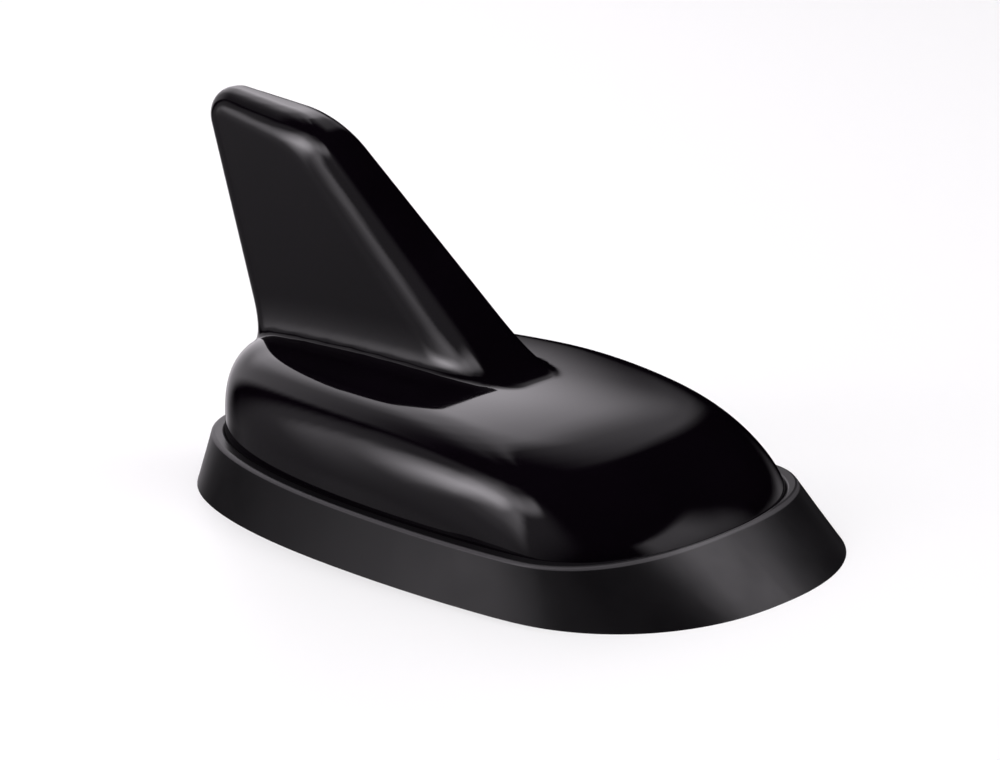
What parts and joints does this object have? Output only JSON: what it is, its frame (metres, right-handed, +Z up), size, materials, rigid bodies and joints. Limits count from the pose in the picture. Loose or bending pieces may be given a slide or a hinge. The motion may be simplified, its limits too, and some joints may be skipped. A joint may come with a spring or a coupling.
{
  "type": "shark fin aerial",
  "caption": "Shark fin aerial for a vehicle roof: polished moulded cover with a swept fin, flared rubber skirt, stick-on pad and a lead grommet in the floor.",
  "frame": {"origin": "middle of the skirt's foot, on the roof plane", "axes": "+X towards the nose, +Y to the left side, +Z up from the roof"},
  "size_m": [0.1559, 0.0912, 0.0829],
  "materials": {
    "cover_gloss": "polished black moulding",
    "skirt_rubber": "matte black moulding",
    "floor_plastic": "satin moulding",
    "pad_foam": "foam tape",
    "seal_rubber": "soft moulding",
    "screw_steel": "zinc plated",
    "board_laminate": "solder mask",
    "shield_tin": "tinned sheet",
    "chip_plastic": "moulded",
    "ferrite": "sintered",
    "ceramic_tan": "sintered",
    "socket_plastic": "moulded",
    "former_plastic": "moulded",
    "copper_wire": "drawn copper",
    "pin_brass": "turned",
    "plate_tin": "tinned sheet",
    "patch_ceramic": "sintered",
    "electrode_silver": "fired silver"
  },
  "bodies": {
    "root": {"cover": "cover_gloss", "skirt": "skirt_rubber", "base_plate": "floor_plastic", "adhesive_pad": "pad_foam", "cover_seal": "seal_rubber", "cover_screws": "screw_steel", "cable_grommet": "seal_rubber", "main_board": "board_laminate", "board_screws": "screw_steel", "shield_can": "shield_tin", "amplifier_chip": "chip_plastic", "filter_inductors": "ferrite", "chip_capacitors": "ceramic_tan", "lead_socket": "socket_plastic", "coil_former": "former_plastic", "loading_coil": "copper_wire", "coil_pin": "pin_brass", "plate_carrier": "former_plastic", "carrier_screws": "screw_steel", "load_plate": "plate_tin", "patch_block": "patch_ceramic", "patch_electrode": "electrode_silver", "patch_pin": "pin_brass"}
  },
  "joints": []
}
